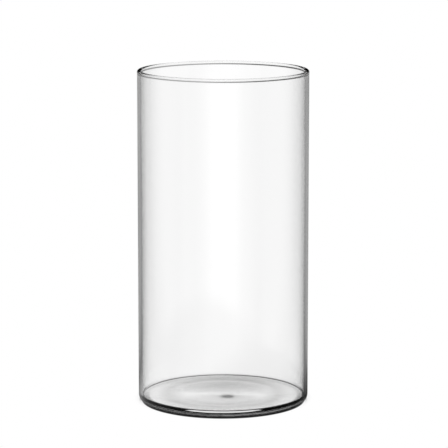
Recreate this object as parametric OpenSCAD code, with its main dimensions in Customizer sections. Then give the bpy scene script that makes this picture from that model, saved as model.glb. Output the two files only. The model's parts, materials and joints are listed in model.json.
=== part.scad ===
// Clear glass cylinder vase, made in one piece: a straight thin wall, a fire-polished lip
// that swells into a fine bead, and a closed foot with a rounded heel. The underside is pushed
// up a little inside the ring that the vase stands on, and keeps a small seal-off mark.
// Millimetres, +Z up, origin at the centre of the foot, on the surface it stands on.

/* [Body] */
// Height over the lip
body_h = 200; // [120:1:320]
// Outside diameter of the straight wall
body_d = 102; // [90:1:160]
// Thickness of the straight wall
wall_t = 2.2; // [1.6:0.1:3.2]

/* [Lip] */
// How far the bead stands out from the wall outside
lip_out = 0.1; // [0.05:0.05:0.5]
// How far the bead stands out from the wall inside
lip_in = 0.25; // [0.1:0.05:0.4]
// Radius of the sweep from the wall into the bead
lip_sweep_r = 3; // [1:0.5:5]

/* [Foot] */
// Radius of the heel, where the wall turns under
heel_r = 4; // [3:0.5:6]
// Thickness of the glass over the standing ring
foot_t = 4.2; // [2.4:0.1:5]
// Radius of the curve between the inside wall and the floor
floor_blend_r = 1.1; // [0.5:0.1:4]
// Inner radius of the flat ring that the vase stands on
ring_in_r = 34; // [30:1:36]
// Rise of the underside at its centre
push_up = 0.4; // [0.3:0.1:1.5]
// Rise of the floor inside, at its centre
floor_rise = 0.3; // [0.1:0.1:1.5]

/* [Seal-off mark] */
// Radius of the mark
seal_r = 4.5; // [3:0.5:8]
// How far the drop of glass stands below the underside
seal_drop = 0.25; // [0.1:0.01:0.25]
// How far the mark is off the vase's axis along X
seal_x = 2.7; // [-8:0.1:8]
// How far the mark is off the vase's axis along Y
seal_y = -6.9; // [-8:0.1:8]

/* [Hidden] */
$fa = 1;
$fs = 0.2;
turn_fn = 240;
dome_fn = 4000;
glass_tint = [0.90, 0.93, 0.93, 0.45];

outer_r = body_d / 2;
inner_r = outer_r - wall_t;
lip_r = (wall_t + lip_out + lip_in) / 2;
lip_centre = [outer_r + lip_out - lip_r, body_h - lip_r];
wall_top = lip_centre.y - lip_r / 4;
floor_edge_r = inner_r - floor_blend_r;
// How far a sweep runs into the face and the bead that it blends
meet = 0.01;
// How much wider than the mark its root is, inside the glass
seal_root = 1.2;

// Radius of the arc that stands rise high at the axis and reaches zero at radius half
function dome_r(half, rise) = (half * half + rise * rise) / (2 * rise);

// A block with its lower outer corner rounded, from height low up to height high
module rounded_block(radius, low, high, corner_r) {
    translate([0, low]) square([radius - corner_r, high - low]);
    translate([0, low + corner_r]) square([radius, high - low - corner_r]);
    translate([radius - corner_r, low + corner_r]) circle(r = corner_r);
}

// The sweep between the wall face at face_x and the bead; side is 1 outside and -1 inside
module lip_sweep(face_x, side) {
    across = (face_x - lip_centre.x) * side + lip_sweep_r - meet;
    reach = lip_r + lip_sweep_r - meet;
    drop = sqrt(reach * reach - across * across);
    // Where the sweep and the bead touch, measured from the bead's centre
    touch = [across, -drop] * lip_r / reach;
    difference() {
        translate([lip_centre.x + (side - 1) / 2 * touch.x, lip_centre.y - drop])
            square([touch.x, touch.y + drop]);
        translate(lip_centre + [side * across, -drop]) circle(r = lip_sweep_r);
    }
}

module lip_section() {
    translate(lip_centre) circle(r = lip_r);
    lip_sweep(outer_r, 1);
    lip_sweep(inner_r, -1);
}

// Wall and foot, before the underside is pushed up
module shell_section() {
    difference() {
        rounded_block(outer_r, 0, wall_top, heel_r);
        rounded_block(inner_r, foot_t, body_h, floor_blend_r);
    }
}

// Glass that the push-up raises above the edge of the floor
module floor_crown_section() {
    crown_r = dome_r(floor_edge_r, floor_rise);
    intersection() {
        translate([0, foot_t + floor_rise - crown_r]) circle(r = crown_r, $fn = dome_fn);
        translate([0, foot_t / 2]) square([floor_edge_r, foot_t]);
    }
}

module underside_section() {
    arch_r = dome_r(ring_in_r, push_up);
    translate([0, push_up - arch_r]) circle(r = arch_r, $fn = dome_fn);
}

// The drop of glass left near the middle of the underside
module seal_off_mark() {
    cap_r = dome_r(seal_r, seal_drop);
    root_r = seal_r * seal_root;
    off = norm([seal_x, seal_y]);
    seal_low = push_up * (1 - off * off / (ring_in_r * ring_in_r)) - seal_drop;
    translate([seal_x, seal_y, 0]) rotate_extrude() intersection() {
        translate([0, seal_low + cap_r]) circle(r = cap_r);
        square([root_r, foot_t / 2]);
    }
}

module vase_section() {
    lip_section();
    difference() {
        union() {
            shell_section();
            floor_crown_section();
        }
        underside_section();
    }
}

module vase_body() {
    color(glass_tint) {
        rotate_extrude($fn = turn_fn) intersection() {
            square([body_d, body_h]);
            vase_section();
        }
        seal_off_mark();
    }
}

vase_body();
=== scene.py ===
# Looks of the clear glass cylinder vase: its glass, and the bright studio it stands in.
# Metres, in the CAD model's frame: +Z up, origin at the centre of the foot.
import json
import math

import bpy
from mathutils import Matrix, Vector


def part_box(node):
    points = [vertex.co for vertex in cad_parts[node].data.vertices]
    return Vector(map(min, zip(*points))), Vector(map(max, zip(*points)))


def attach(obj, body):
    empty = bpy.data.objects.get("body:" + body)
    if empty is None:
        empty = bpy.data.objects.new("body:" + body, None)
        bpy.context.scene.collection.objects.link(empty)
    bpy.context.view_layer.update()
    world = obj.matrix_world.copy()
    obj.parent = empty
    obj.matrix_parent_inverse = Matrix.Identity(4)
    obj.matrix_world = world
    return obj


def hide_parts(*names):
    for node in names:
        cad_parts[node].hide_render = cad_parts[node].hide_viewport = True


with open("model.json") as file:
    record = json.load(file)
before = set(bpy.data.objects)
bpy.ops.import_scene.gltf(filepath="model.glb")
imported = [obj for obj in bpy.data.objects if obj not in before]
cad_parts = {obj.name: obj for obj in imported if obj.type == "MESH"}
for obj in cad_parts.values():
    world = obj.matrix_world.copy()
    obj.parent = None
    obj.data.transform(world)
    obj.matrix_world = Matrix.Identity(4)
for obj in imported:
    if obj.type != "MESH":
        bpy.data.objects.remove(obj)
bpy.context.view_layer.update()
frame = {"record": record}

MM = 0.001


def mount_radius(name):
    """The radius of one of the record's round mounts."""
    mount = next(m for m in frame["record"]["mounts"] if m["name"] == name)
    return mount["dims"]["r_mm"] * MM


# ---- The vase's sizes ----
LIP_OUT = 0.1 * MM
LIP_IN = 0.25 * MM
LIP_SWEEP_R = 3.0 * MM
HEEL_R = 4.0 * MM
FOOT_T = 4.2 * MM
FLOOR_BLEND_R = 1.1 * MM
RING_IN_R = 34.0 * MM
PUSH_UP = 0.4 * MM
FLOOR_RISE = 0.3 * MM
SEAL_R = 4.5 * MM
SEAL_DROP = 0.25 * MM
SEAL_AT = (2.7 * MM, -6.9 * MM)

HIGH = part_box("vase_body")[1]
HEIGHT = HIGH.z
OUTER_R = HIGH.x - LIP_OUT
INNER_R = mount_radius("mouth")
LIP_R = (OUTER_R - INNER_R + LIP_OUT + LIP_IN) / 2
LIP_CENTRE_R = OUTER_R + LIP_OUT - LIP_R

# ---- How finely the vase is turned ----
SIDES = 320
WALL_ROWS = 60
FOOT_ROWS = 60
LIP_STEPS = 40
CORNER_STEPS = 20

# ---- How far hot-worked glass strays from true ----
WALL_WAVE = 0.02 * MM
LIP_WAVE = 0.06 * MM
# The higher this power, the closer to the lip the upward stray begins
LIP_WAVE_POWER = 8

# ---- Surface of the glass ----
GLASS_IOR = 1.5
# Upright draw lines: how strong, how close together, and how many times longer than wide
DRAW_LINES = 0.02
CORD_SCALE = 9.0
CORD_DETAIL = 2.0
CORD_LENGTH = 12.0
# Haze: roughness of the glass, and where in the noise it goes from least to most
LEAST_ROUGH = 0.0
MOST_ROUGH = 0.012
HAZE_FROM = 0.45
HAZE_TO = 0.75

# ---- Camera: metres, degrees and millimetres of focal length ----
CAMERA_DISTANCE = 1.489
CAMERA_HEIGHT = 0.3635
CAMERA_PITCH = 9.767
CAMERA_SIDE = 0.0005
LENS = 203.0

# ---- Ground ----
GROUND_HALF = 3.0
GROUND_Z = -0.2 * MM
# Brightness of the mirrored ground at each turn round the vase, in degrees, 0 in front
ROOM_ROUND = (
    (-180, 0.46), (-150, 0.42), (-132, 0.22), (-117, 0.35), (-96, 0.66), (-75, 0.60), (-58, 0.48),
    (-54, 0.62), (-31, 0.78), (-15, 1.10), (15, 1.10), (27, 0.72), (42, 0.45), (49, 0.45),
    (54, 0.58), (75, 0.60), (96, 0.66), (117, 0.35), (132, 0.22), (150, 0.42), (180, 0.46),
)
# Part of the ground's and the room's light kept at each mirroring after the first
GROUND_KEPT = 0.5
ROOM_KEPT = 0.95
# Painted shade: the mirrored ground is darker round this point, in front of the vase and to the
# right
NEAR_AT = (0.05, -0.07)
NEAR_FROM = 0.07
NEAR_TO = 0.18
NEAR_LEVEL = 0.08

# ---- Shade under the foot, painted on the ground: brightness at each distance in millimetres ----
# The soft ring under the floor
FOOT_SHADE_AT = (0.0, 5.0 * MM)
FOOT_SHADE = (
    (0, 1.0), (20, 1.0), (25, 0.95), (33, 0.62), (36, 0.68), (41, 0.88), (50.5, 0.88),
    (51.5, 0.94), (54, 1.0), (60, 1.0),
)
# The dark line at the heel, on the front half
CONTACT_SHADE = ((0, 1.0), (44, 1.0), (45.5, 0.03), (48.7, 0.03), (49.4, 1.0), (60, 1.0))
# The thin line round the edge of the floor, on the back half
BACK_SHADE = ((0, 1.0), (48, 1.0), (48.8, 0.2), (50.2, 0.2), (51, 1.0), (60, 1.0))
CONTACT_FADE = 0.012
# The painted dark spot under the seal-off mark
SEAL_SHADE = ((0, 0.0), (2, 0.1), (6, 0.8), (10, 0.9), (18, 1.0))

# ---- Room above the ground ----
# Straight through the glass: white at the horizon and darker higher up, most on the right
CLEAR_FROM = -0.05
CLEAR_TO = 0.1
CLEAR_LEFT = 0.36
CLEAR_RIGHT = 0.1
CLEAR_EDGE = 0.005
CLEAR_EDGE_SOFT = 0.02
CEILING_FROM = 0.25
CEILING_TO = 0.6
CEILING = 0.15
# Mirrored by the glass: brightness at each height of the direction, a band low behind the vase
ROOM_UP = ((-1.0, 0.0), (0.2, 0.0), (0.23, 1.0), (0.26, 1.0), (0.29, 0.0), (1.0, 0.0))
ROOM_FRONT = 0.02
ROOM_BEHIND = 0.95
ROOM_TURN = 0.5
# Height by which the mirrored room no longer looks like the mirrored ground
HORIZON_TO = 0.06

# How often light may pass or be mirrored on its way through the glass
GLASS_BOUNCES = 24
MIRROR_BOUNCES = 12


# ---- The vase's shape ----
def arc(centre_r, centre_z, radius, start, end, steps):
    """Points along an arc in the (radius, height) plane; angles in degrees from straight out."""
    points = []
    for i in range(steps + 1):
        a = math.radians(start + (end - start) * i / steps)
        points.append((centre_r + radius * math.cos(a), centre_z + radius * math.sin(a)))
    return points


def bump(t):
    """A round hump: 1 at t = 0, level there and where it dies out at t = 1."""
    return (1 - t * t) ** 2 if t < 1 else 0.0


def underside(r):
    """Height of the underside, pushed up inside the ring that the vase stands on."""
    return PUSH_UP * bump(r / RING_IN_R)


def floor(r):
    """Height of the inside floor."""
    return FOOT_T + FLOOR_RISE * bump(r / (INNER_R - FLOOR_BLEND_R))


def seal(x, y, z):
    """How far the seal-off mark hangs below the underside."""
    if z > FOOT_T / 2:
        return 0.0
    return SEAL_DROP * bump(math.hypot(x - SEAL_AT[0], y - SEAL_AT[1]) / SEAL_R)


def lip_sweep(face_r, side):
    """Centre of the sweep from a wall face into the bead, and the angle it turns through."""
    reach = LIP_R + LIP_SWEEP_R
    across = (face_r - LIP_CENTRE_R) * side + LIP_SWEEP_R
    drop = math.sqrt(reach * reach - across * across)
    turn = math.degrees(math.asin(drop / reach))
    return LIP_CENTRE_R + side * across, HEIGHT - LIP_R - drop, turn


def lip_profile():
    """Outside face, over the bead, to the inside face."""
    out_r, out_z, out_turn = lip_sweep(OUTER_R, 1)
    in_r, in_z, in_turn = lip_sweep(INNER_R, -1)
    outside = arc(out_r, out_z, LIP_SWEEP_R, 180, 180 - out_turn, CORNER_STEPS // 2)
    bead = arc(LIP_CENTRE_R, HEIGHT - LIP_R, LIP_R, -out_turn, 180 + in_turn, LIP_STEPS)
    inside = arc(in_r, in_z, LIP_SWEEP_R, in_turn, 0, CORNER_STEPS // 2)
    return outside + bead[1:] + inside[1:]


def between(r, start, end, rows):
    """Points on a straight face, between its two ends."""
    return [(r, start + (end - start) * i / rows) for i in range(1, rows)]


def vase_profile():
    """The vase's whole section, from the axis underneath, round the outside to the axis inside."""
    lip = lip_profile()
    foot_r = OUTER_R - HEEL_R
    floor_r = INNER_R - FLOOR_BLEND_R
    floor_top = FOOT_T + FLOOR_BLEND_R
    out = [foot_r * i / FOOT_ROWS for i in range(FOOT_ROWS)]
    back = [floor_r * (1 - i / FOOT_ROWS) for i in range(1, FOOT_ROWS + 1)]
    under = [(r, underside(r)) for r in out]
    heel = arc(foot_r, HEEL_R, HEEL_R, -90, 0, CORNER_STEPS)
    rise = between(OUTER_R, heel[-1][1], lip[0][1], WALL_ROWS)
    fall = between(INNER_R, lip[-1][1], floor_top, WALL_ROWS)
    blend = arc(floor_r, floor_top, FLOOR_BLEND_R, 0, -90, CORNER_STEPS)
    inside = [(r, floor(r)) for r in back]
    return under + heel + rise + lip + fall + blend + inside


def stray(r, z, turn):
    """How far a point of the wall or the lip strays outwards and upwards from true."""
    up = min(max((z - 2 * FOOT_T) / HEIGHT, 0.0), 1.0)
    level = z / HEIGHT
    face = 1.0 if r > LIP_CENTRE_R else -1.0
    # Slow waves round the vase, which also wind up it; the two faces of the wall differ
    outwards = math.sin(5 * turn + 9 * level * face) + 0.6 * math.sin(3 * turn - 14 * level + face)
    upwards = math.sin(2 * turn + 0.8) + 0.5 * math.sin(5 * turn)
    return WALL_WAVE * up * outwards, LIP_WAVE * up ** LIP_WAVE_POWER * (upwards - 1.5)


def lathe(name, profile, sides):
    """A closed mesh turned round +Z from a section that starts and ends on the axis."""
    rings = profile[1:-1]
    bottom, top = profile[0][1], profile[-1][1]
    verts = [(0.0, 0.0, bottom - seal(0.0, 0.0, bottom))]
    for r, z in rings:
        for s in range(sides):
            turn = 2 * math.pi * s / sides
            outwards, upwards = stray(r, z, turn)
            x, y = (r + outwards) * math.cos(turn), (r + outwards) * math.sin(turn)
            verts.append((x, y, z + upwards - seal(x, y, z)))
    verts.append((0.0, 0.0, top))
    last = len(verts) - 1
    inner = 1 + (len(rings) - 1) * sides
    faces = []
    for s in range(sides):
        t = (s + 1) % sides
        faces.append((0, 1 + t, 1 + s))
        faces.append((last, inner + s, inner + t))
        for k in range(len(rings) - 1):
            a, b = 1 + k * sides, 1 + (k + 1) * sides
            faces.append((a + s, a + t, b + t, b + s))
    mesh = bpy.data.meshes.new(name)
    mesh.from_pydata(verts, [], faces)
    mesh.shade_smooth()
    return link(bpy.data.objects.new(name, mesh))


def link(thing):
    bpy.context.scene.collection.objects.link(thing)
    return thing


# ---- Node helpers ----
def add_node(tree, kind, **settings):
    """A new shader node with its settings."""
    node = tree.nodes.new("ShaderNode" + kind)
    for key, value in settings.items():
        setattr(node, key, value)
    return node


def connect(tree, value, socket):
    """Gives an input a number, or the value of another node's output."""
    if isinstance(value, (int, float)):
        socket.default_value = value
    else:
        tree.links.new(value, socket)


def maths(tree, operation, a, b):
    """One operation on two values, each an output or a number."""
    node = add_node(tree, "Math", operation=operation)
    connect(tree, a, node.inputs[0])
    connect(tree, b, node.inputs[1])
    return node.outputs[0]


def multiply(tree, *values):
    """All the values multiplied together."""
    product = values[0]
    for value in values[1:]:
        product = maths(tree, "MULTIPLY", product, value)
    return product


def fade(tree, value, start, end, before, after, smooth=True):
    """Goes from before to after as value goes from start to end."""
    node = add_node(tree, "MapRange", interpolation_type="SMOOTHSTEP" if smooth else "LINEAR")
    tree.links.new(value, node.inputs["Value"])
    limits = {"From Min": start, "From Max": end, "To Min": before, "To Max": after}
    for key, number in limits.items():
        node.inputs[key].default_value = number
    return node.outputs["Result"]


def levels(tree, value, stops, per_unit=1.0):
    """Brightness read off (place, level) stops; value times per_unit is the place."""
    first, last = stops[0][0], stops[-1][0]
    ramp = add_node(tree, "ValToRGB")
    elements = ramp.color_ramp.elements
    while len(elements) < len(stops):
        elements.new(0.5)
    for element, (place, level) in zip(elements, stops):
        element.position = (place - first) / (last - first)
        element.color = (level, level, level, 1)
    along = fade(tree, value, first / per_unit, last / per_unit, 0, 1, smooth=False)
    tree.links.new(along, ramp.inputs[0])
    return ramp.outputs["Color"]


def split(tree, vector):
    """The X, Y and Z of a vector."""
    node = add_node(tree, "SeparateXYZ")
    tree.links.new(vector, node.inputs[0])
    return node.outputs["X"], node.outputs["Y"], node.outputs["Z"]


def distance_to(tree, where, x, y):
    """How far a place on the ground is from one point of it."""
    away = add_node(tree, "VectorMath", operation="DISTANCE")
    tree.links.new(where, away.inputs[0])
    away.inputs[1].default_value = (x, y, GROUND_Z)
    return away.outputs["Value"]


def seen(tree, clear, mirrored, kept_each):
    """Brightness of clear, or of mirrored where the glass has mirrored the light.

    kept_each is the part of mirrored that each mirroring after the first keeps.
    """
    depth = add_node(tree, "LightPath").outputs["Glossy Depth"]
    again = maths(tree, "MAXIMUM", maths(tree, "SUBTRACT", depth, 1.0), 0.0)
    kept = maths(tree, "POWER", kept_each, again)
    choice = add_node(tree, "Mix", data_type="FLOAT")
    tree.links.new(maths(tree, "GREATER_THAN", depth, 0.5), choice.inputs["Factor"])
    connect(tree, clear, choice.inputs["A"])
    connect(tree, multiply(tree, mirrored, kept), choice.inputs["B"])
    return choice.outputs["Result"]


# ---- Materials ----
def clear_glass():
    """Clear glass with faint upright draw lines and a trace of haze."""
    material = bpy.data.materials.new("clear_glass")
    material.use_nodes = True
    tree = material.node_tree
    shader = tree.nodes["Principled BSDF"]
    shader.inputs["Base Color"].default_value = (1, 1, 1, 1)
    shader.inputs["IOR"].default_value = GLASS_IOR
    shader.inputs["Transmission Weight"].default_value = 1.0
    where = add_node(tree, "TexCoord").outputs["Object"]
    stretch = add_node(tree, "Mapping")
    tree.links.new(where, stretch.inputs["Vector"])
    stretch.inputs["Scale"].default_value = (CORD_SCALE, CORD_SCALE, CORD_SCALE / CORD_LENGTH)
    cords = add_node(tree, "TexNoise")
    tree.links.new(stretch.outputs["Vector"], cords.inputs["Vector"])
    cords.inputs["Scale"].default_value = CORD_SCALE
    cords.inputs["Detail"].default_value = CORD_DETAIL
    lines = add_node(tree, "Bump")
    lines.inputs["Strength"].default_value = DRAW_LINES
    lines.inputs["Distance"].default_value = MM
    tree.links.new(cords.outputs["Fac"], lines.inputs["Height"])
    tree.links.new(lines.outputs["Normal"], shader.inputs["Normal"])
    haze = fade(tree, cords.outputs["Fac"], HAZE_FROM, HAZE_TO, LEAST_ROUGH, MOST_ROUGH)
    tree.links.new(haze, shader.inputs["Roughness"])
    return material


def foot_shade(tree, where):
    """Painted shade under the foot: a soft ring, lines at the heel and floor edge, and a spot."""
    soft = levels(tree, distance_to(tree, where, *FOOT_SHADE_AT), FOOT_SHADE, 1 / MM)
    out = distance_to(tree, where, 0, 0)
    line = add_node(tree, "Mix", data_type="FLOAT")
    back = fade(tree, split(tree, where)[1], -CONTACT_FADE, CONTACT_FADE, 0.0, 1.0)
    tree.links.new(back, line.inputs["Factor"])
    tree.links.new(levels(tree, out, CONTACT_SHADE, 1 / MM), line.inputs["A"])
    tree.links.new(levels(tree, out, BACK_SHADE, 1 / MM), line.inputs["B"])
    spot = levels(tree, distance_to(tree, where, *SEAL_AT), SEAL_SHADE, 1 / MM)
    return multiply(tree, soft, line.outputs["Result"], spot)


def room_round(tree, x, y):
    """Brightness of the mirrored room at the turn of the direction or place (x, y)."""
    turn = maths(tree, "ARCTAN2", x, maths(tree, "MULTIPLY", y, -1.0))
    return levels(tree, turn, ROOM_ROUND, math.degrees(1))


def pale_ground():
    """White ground, as bright as the backdrop, with painted shade under the foot; what the glass
    mirrors of it is mostly dimmer.
    """
    material = bpy.data.materials.new("pale_ground")
    material.use_nodes = True
    tree = material.node_tree
    tree.nodes.remove(tree.nodes["Principled BSDF"])
    where = add_node(tree, "TexCoord").outputs["Object"]
    x, y, _ = split(tree, where)
    around = room_round(tree, x, y)
    # Painted shade round a point near the vase, seen only where the glass mirrors the ground
    near = fade(tree, distance_to(tree, where, *NEAR_AT), NEAR_FROM, NEAR_TO, NEAR_LEVEL, 1.0)
    level = seen(tree, 1.0, multiply(tree, around, near), GROUND_KEPT)
    glow = add_node(tree, "Emission")
    tree.links.new(multiply(tree, level, foot_shade(tree, where)), glow.inputs["Strength"])
    tree.links.new(glow.outputs[0], tree.nodes["Material Output"].inputs["Surface"])
    return material


# ---- The studio ----
def add_ground():
    h = GROUND_HALF
    corners = [(-h, -h, GROUND_Z), (h, -h, GROUND_Z), (h, h, GROUND_Z), (-h, h, GROUND_Z)]
    mesh = bpy.data.meshes.new("ground")
    mesh.from_pydata(corners, [], [(0, 1, 2, 3)])
    mesh.materials.append(pale_ground())
    link(bpy.data.objects.new("ground", mesh))


def add_world():
    """White at the horizon and dark overhead; what the glass mirrors is a dimmer room."""
    world = bpy.data.worlds.new("studio")
    bpy.context.scene.world = world
    world.use_nodes = True
    tree = world.node_tree
    x, y, z = split(tree, add_node(tree, "TexCoord").outputs["Generated"])
    edge = (CLEAR_EDGE - CLEAR_EDGE_SOFT, CLEAR_EDGE + CLEAR_EDGE_SOFT)
    lost = fade(tree, x, *edge, 1 - CLEAR_LEFT, 1 - CLEAR_RIGHT)
    lost = multiply(tree, lost, fade(tree, z, CLEAR_FROM, CLEAR_TO, 0.0, 1.0))
    ceiling = fade(tree, z, CEILING_FROM, CEILING_TO, 1.0, CEILING)
    clear = multiply(tree, maths(tree, "SUBTRACT", 1.0, lost), ceiling)
    across = fade(tree, y, -ROOM_TURN, ROOM_TURN, ROOM_FRONT, ROOM_BEHIND)
    raised = multiply(tree, across, levels(tree, z, ROOM_UP))
    low = fade(tree, z, 0.0, HORIZON_TO, 1.0, 0.0)
    horizon = multiply(tree, room_round(tree, x, y), low)
    level = seen(tree, clear, maths(tree, "MAXIMUM", raised, horizon), ROOM_KEPT)
    background = tree.nodes["Background"]
    background.inputs["Color"].default_value = (1, 1, 1, 1)
    tree.links.new(level, background.inputs["Strength"])


def add_camera():
    data = bpy.data.cameras.new("camera")
    data.lens = LENS
    camera = link(bpy.data.objects.new("camera", data))
    camera.location = (CAMERA_SIDE, -CAMERA_DISTANCE, CAMERA_HEIGHT)
    camera.rotation_euler = (math.radians(90 - CAMERA_PITCH), 0, 0)
    bpy.context.scene.camera = camera


def add_vase():
    vase = lathe("glass_vase", vase_profile(), SIDES)
    vase.data.materials.append(clear_glass())
    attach(vase, "root")
    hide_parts("vase_body")


add_camera()
add_world()
add_ground()
add_vase()
scene = bpy.context.scene
scene.view_settings.view_transform = "Standard"
scene.cycles.max_bounces = GLASS_BOUNCES
scene.cycles.transmission_bounces = GLASS_BOUNCES
scene.cycles.glossy_bounces = MIRROR_BOUNCES
